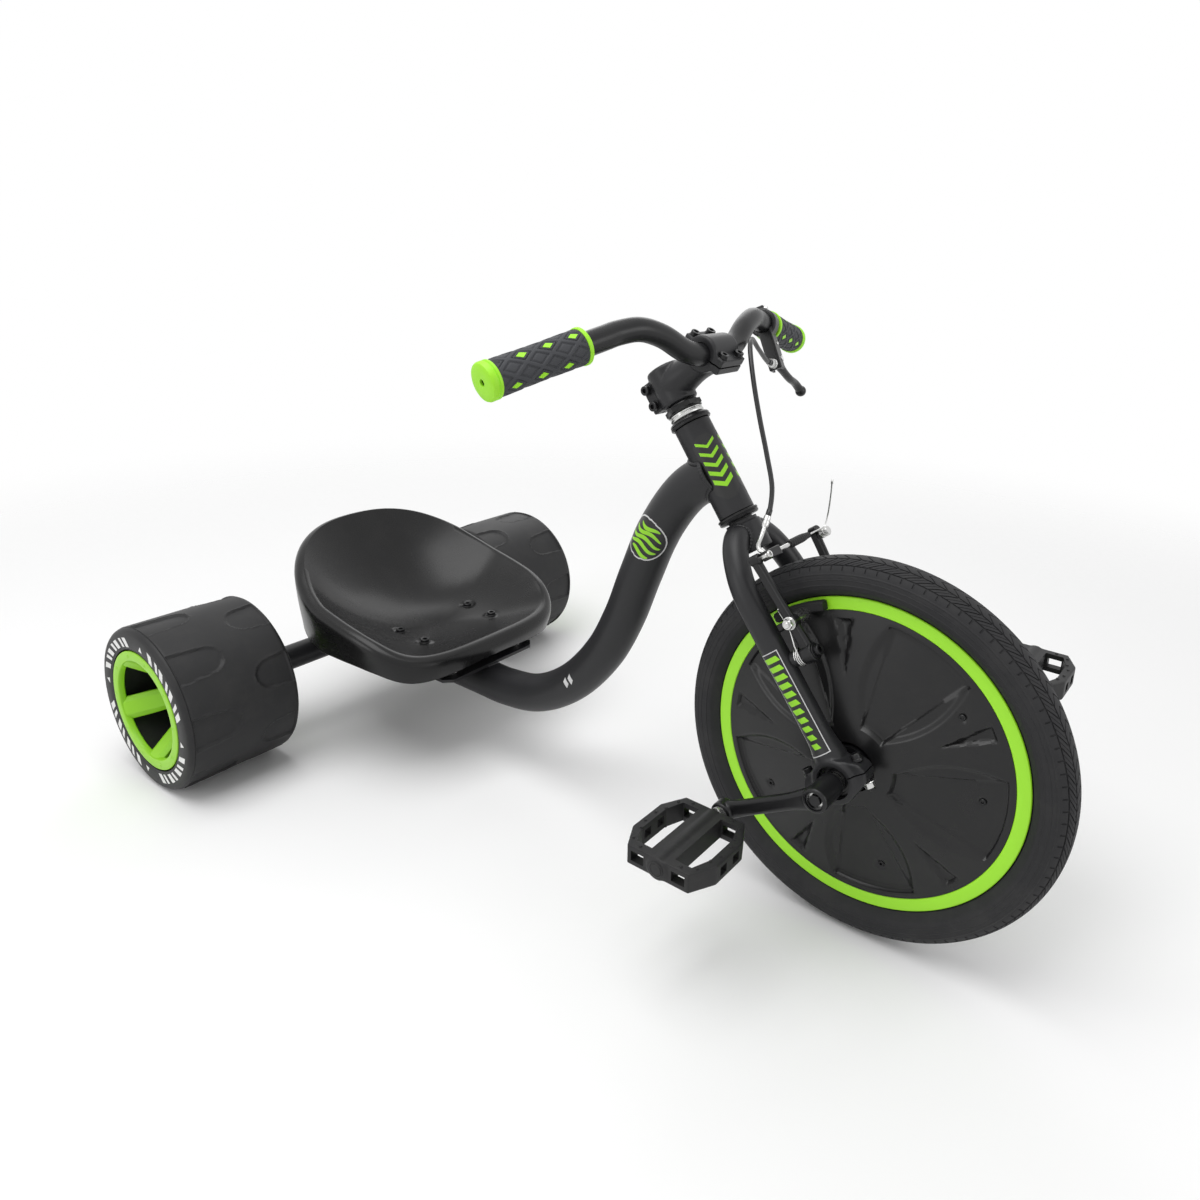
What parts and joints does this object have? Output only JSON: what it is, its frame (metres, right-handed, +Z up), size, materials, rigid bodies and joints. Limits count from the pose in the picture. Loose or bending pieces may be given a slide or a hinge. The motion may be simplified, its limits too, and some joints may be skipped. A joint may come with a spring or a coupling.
{
  "type": "drift trike",
  "caption": "Low drift trike with a pedalled, steered front wheel under disc covers, a rim brake, a moulded bucket seat on a bent tube, and wide slick rear wheels.",
  "frame": {"origin": "on the ground at the middle of the length and width", "axes": "+X forward to the front wheel, +Y to the rider's left, +Z up"},
  "size_m": [1.0666, 0.637, 0.5922],
  "materials": {
    "frame_paint": "satin",
    "seat_shell": "gloss",
    "black_metal": "satin",
    "rim_paint": "satin",
    "lime_plastic": "satin",
    "front_tread": "matte",
    "rear_tread": "matte",
    "cover_plastic": "satin",
    "pedal_plastic": "matte",
    "grip_rubber": "matte",
    "soft_black": "matte",
    "cable_jacket": "satin",
    "bright_steel": "bright"
  },
  "bodies": {
    "chassis": {"main_tube": "frame_paint", "head_tube": "frame_paint", "rear_axle_tube": "frame_paint", "seat_bracket": "frame_paint", "seat": "seat_shell", "seat_skirt": "seat_shell", "seat_bolt_1": "black_metal", "seat_bolt_2": "black_metal", "seat_bolt_3": "black_metal", "seat_bolt_4": "black_metal", "headset_upper_cup": "black_metal", "headset_lower_cup": "black_metal", "rear_axle": "bright_steel", "rear_axle_nut_right": "bright_steel", "rear_axle_nut_left": "bright_steel"},
    "rear_wheel_right": {"rear_tyre_right": "rear_tread", "rear_hub_right": "lime_plastic", "rear_bearing_right": "bright_steel"},
    "rear_wheel_left": {"rear_tyre_left": "rear_tread", "rear_hub_left": "lime_plastic", "rear_bearing_left": "bright_steel"},
    "fork": {"fork_crown": "frame_paint", "fork_leg_right": "frame_paint", "fork_leg_left": "frame_paint", "fork_clamp_cap_right": "frame_paint", "fork_clamp_cap_left": "frame_paint", "crank_bearing_right": "bright_steel", "crank_bearing_left": "bright_steel", "headset_cone": "bright_steel", "headset_locknut": "black_metal", "stem": "frame_paint", "stem_cap": "frame_paint", "handlebar": "frame_paint", "grip_core_right": "lime_plastic", "grip_core_left": "lime_plastic", "grip_sleeve_right": "grip_rubber", "grip_sleeve_left": "grip_rubber", "lever_bracket": "black_metal", "barrel_adjuster": "bright_steel", "brake_housing": "cable_jacket"},
    "lever": {"brake_lever": "black_metal"},
    "brake_right": {"brake_arm_right": "black_metal", "brake_pad_right": "soft_black", "brake_noodle": "bright_steel", "brake_boot": "soft_black"},
    "brake_left": {"brake_arm_left": "black_metal", "brake_pad_left": "soft_black", "brake_wire": "bright_steel"},
    "front_wheel": {"front_tyre": "front_tread", "front_rim": "rim_paint", "front_hub": "black_metal", "wheel_cover_right": "cover_plastic", "wheel_cover_left": "cover_plastic"},
    "cranks": {"crank_spindle": "bright_steel", "crank_arm_right": "black_metal", "crank_arm_left": "black_metal", "pedal_axle_right": "bright_steel", "pedal_axle_left": "bright_steel"},
    "pedal_body_right": {"pedal_right": "pedal_plastic"},
    "pedal_body_left": {"pedal_left": "pedal_plastic"}
  },
  "joints": [
    {"name": "steering", "type": "hinge", "parent": "chassis", "child": "fork", "pos_m": [0.33183, 0, 0.1903], "axis": [-0.5878, 0, 0.809], "range_deg": [-45, 45]},
    {"name": "front_wheel_spin", "type": "hinge", "parent": "fork", "child": "front_wheel", "pos_m": [0.3383, 0, 0.195], "axis": [0, 1, 0], "continuous": true},
    {"name": "crank_spin", "type": "hinge", "parent": "fork", "child": "cranks", "pos_m": [0.3383, 0, 0.195], "axis": [0, 1, 0], "continuous": true},
    {"name": "pedal_right_spin", "type": "hinge", "parent": "cranks", "child": "pedal_body_right", "pos_m": [0.24304, -0.16, 0.14], "axis": [0, 1, 0], "continuous": true},
    {"name": "pedal_left_spin", "type": "hinge", "parent": "cranks", "child": "pedal_body_left", "pos_m": [0.43356, 0.16, 0.25], "axis": [0, 1, 0], "continuous": true},
    {"name": "rear_wheel_right_spin", "type": "hinge", "parent": "chassis", "child": "rear_wheel_right", "pos_m": [-0.4307, -0.25, 0.1026], "axis": [0, 1, 0], "continuous": true},
    {"name": "rear_wheel_left_spin", "type": "hinge", "parent": "chassis", "child": "rear_wheel_left", "pos_m": [-0.4307, 0.25, 0.1026], "axis": [0, 1, 0], "continuous": true},
    {"name": "brake_lever_pull", "type": "hinge", "parent": "fork", "child": "lever", "pos_m": [0.13129, 0.13946, 0.53543], "axis": [0.863, 0.2764, 0.4229], "range_deg": [0, 22], "stiffness_Nm_per_rad": 0.6, "springref_deg": -17.19},
    {"name": "brake_right_close", "type": "hinge", "parent": "fork", "child": "brake_right", "pos_m": [0.28887, -0.046, 0.29876], "axis": [-0.809, 0, -0.5878], "range_deg": [0, 2.55], "stiffness_Nm_per_rad": 0.6, "springref_deg": -5.73, "deforming": ["brake_boot", "brake_housing"]},
    {"name": "brake_left_close", "type": "hinge", "parent": "fork", "child": "brake_left", "pos_m": [0.28887, 0.046, 0.29876], "axis": [0.809, 0, 0.5878], "range_deg": [0, 2.55], "stiffness_Nm_per_rad": 0.6, "springref_deg": -5.73, "deforming": ["brake_wire"]}
  ],
  "couplings": [
    {"joint": "crank_spin", "follows": "front_wheel_spin", "ratio": 1},
    {"joint": "brake_right_close", "follows": "brake_lever_pull", "ratio": 0.11},
    {"joint": "brake_left_close", "follows": "brake_lever_pull", "ratio": 0.11}
  ]
}
